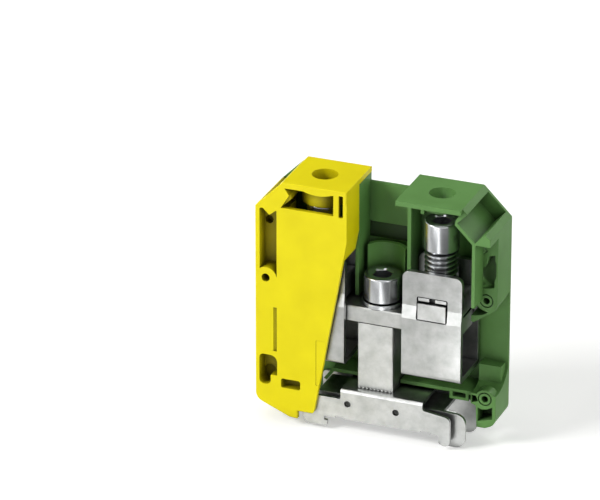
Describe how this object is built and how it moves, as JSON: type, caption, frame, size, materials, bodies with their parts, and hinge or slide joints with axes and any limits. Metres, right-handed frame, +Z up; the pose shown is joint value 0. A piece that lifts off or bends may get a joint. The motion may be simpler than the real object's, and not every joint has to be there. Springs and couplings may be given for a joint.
{
  "type": "earth terminal block",
  "caption": "Rail-mounted earth terminal block, cut away at the front to show its clamp cages, current bar, earth post and rail foot",
  "frame": {"origin": "middle of the block's length and width, on the plane of the foot's lowest hook edges; the rail's top plane is 4.3 mm above it and the rail's centre line is at x = +3.3 mm", "axes": "+X along the conductor from the yellow tower to the green tower, +Y from the front face to the back face (across the stack of blocks), +Z up, away from the rail"},
  "size_m": [0.0704, 0.02, 0.0763],
  "materials": {
    "green_plastic": "satin",
    "yellow_plastic": "satin",
    "plated_metal": "satin",
    "sheet_steel": "satin",
    "screw_steel": "polished"
  },
  "bodies": {
    "block": {"rear_shell": "green_plastic", "front_cover": "yellow_plastic", "current_bar": "plated_metal", "earth_post": "plated_metal", "foot_frame": "sheet_steel", "centre_washer": "screw_steel"},
    "left_clamp": {"left_cage": "sheet_steel", "left_tapped_block": "sheet_steel"},
    "right_clamp": {"right_cage": "sheet_steel", "right_tapped_block": "sheet_steel"},
    "left_screw": {"left_clamp_screw": "screw_steel"},
    "right_screw": {"right_clamp_screw": "screw_steel"},
    "middle_screw": {"centre_screw": "screw_steel"},
    "jaw": {"foot_jaw": "sheet_steel", "foot_nut": "sheet_steel"}
  },
  "joints": [
    {"name": "left_screw_turn", "type": "hinge", "parent": "block", "child": "left_screw", "pos_m": [-0.0177, 0, 0.0643], "axis": [0, 0, -1], "range_deg": [0, 2400]},
    {"name": "right_screw_turn", "type": "hinge", "parent": "block", "child": "right_screw", "pos_m": [0.0177, 0, 0.0643], "axis": [0, 0, -1], "range_deg": [0, 2400]},
    {"name": "middle_screw_turn", "type": "hinge", "parent": "block", "child": "middle_screw", "pos_m": [0, 0, 0.0443], "axis": [0, 0, 1], "range_deg": [0, 540]},
    {"name": "left_cage_lift", "type": "slide", "parent": "block", "child": "left_clamp", "axis": [0, 0, 1], "range_m": [0, 0.01]},
    {"name": "right_cage_lift", "type": "slide", "parent": "block", "child": "right_clamp", "axis": [0, 0, 1], "range_m": [0, 0.01]},
    {"name": "jaw_drop", "type": "slide", "parent": "block", "child": "jaw", "axis": [0, 0, -1], "range_m": [0, 0.0015]}
  ],
  "couplings": [
    {"joint": "left_screw_turn", "follows": "left_cage_lift", "rad_per_m": 4188.8},
    {"joint": "right_screw_turn", "follows": "right_cage_lift", "rad_per_m": 4188.8},
    {"joint": "middle_screw_turn", "follows": "jaw_drop", "rad_per_m": 6283.2}
  ]
}
